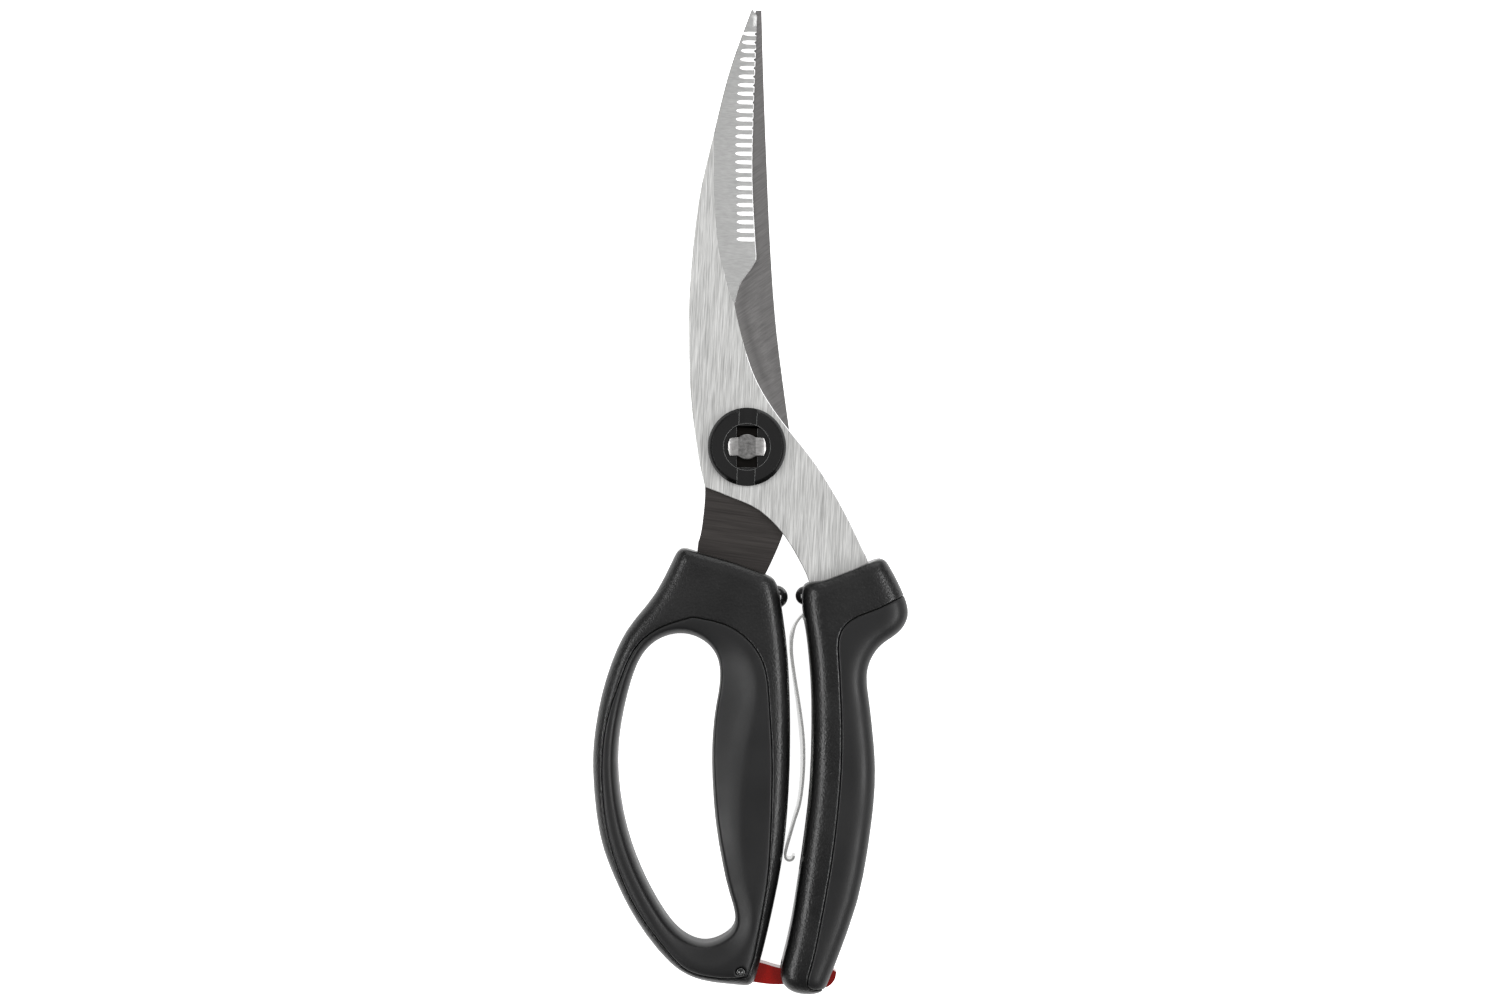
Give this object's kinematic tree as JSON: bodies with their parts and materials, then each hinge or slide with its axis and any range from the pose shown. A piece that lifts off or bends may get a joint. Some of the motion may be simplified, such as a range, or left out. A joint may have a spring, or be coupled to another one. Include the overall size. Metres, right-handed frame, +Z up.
{
  "type": "poultry shears",
  "caption": "Curved spring-loaded kitchen shears for jointing poultry: serrated and hollow-ground blades, T-stud pivot, closed loop handle, straight handle and end latch.",
  "frame": {"origin": "centre of the whole outline, on the plane that the handles' flat backs rest on", "axes": "+Y towards the blade tips, +Z up out of the front face through the thickness, +X from the loop handle to the straight handle"},
  "size_m": [0.0942, 0.2952, 0.02],
  "materials": {
    "brushed_blade": "vertical brushed satin with a finer ground bevel",
    "dark_blade": "hollow ground, dark satin",
    "bright_steel": "cast and tumbled satin",
    "spring_steel": "bright rolled strip",
    "pin_steel": "turned",
    "hard_black": "fine leather-like moulded grain",
    "soft_black": "smooth soft-touch, matte",
    "ring_black": "fine satin",
    "bumper_black": "glossy",
    "latch_red": "glossy",
    "sleeve_nylon": "natural nylon"
  },
  "bodies": {
    "loop_half": {"rear_blade": "dark_blade", "pivot_stud": "bright_steel", "stud_washer": "pin_steel", "loop_handle_core": "hard_black", "loop_handle_liner": "soft_black", "loop_bumper": "bumper_black", "loop_tang_pins": "pin_steel", "latch_pin": "pin_steel", "latch_sleeve": "sleeve_nylon"},
    "grip_half": {"front_blade": "brushed_blade", "pivot_ring": "ring_black", "grip_handle_core": "hard_black", "grip_handle_pad": "soft_black", "grip_bumper": "bumper_black", "grip_tang_pins": "pin_steel", "spring_pin": "pin_steel", "latch_catch": "spring_steel", "catch_pin": "pin_steel"},
    "spring": {"leaf_spring": "spring_steel"},
    "latch": {"latch_arm": "latch_red"}
  },
  "joints": [
    {"name": "blade_pivot", "type": "hinge", "parent": "loop_half", "child": "grip_half", "pos_m": [-0.0011, 0.016, 0.01], "axis": [0, 0, 1], "range_deg": [-2, 38]},
    {"name": "spring_flex", "type": "hinge", "parent": "grip_half", "child": "spring", "pos_m": [0.0173, -0.035, 0.01], "axis": [0, 0, 1], "range_deg": [-58.6, 3.1]},
    {"name": "latch_swing", "type": "hinge", "parent": "loop_half", "child": "latch", "pos_m": [-0.003, -0.1403, 0.01], "axis": [0, 0, -1], "range_deg": [0, 92]}
  ],
  "couplings": [
    {"joint": "spring_flex", "follows": "blade_pivot", "ratio": -1.54}
  ]
}
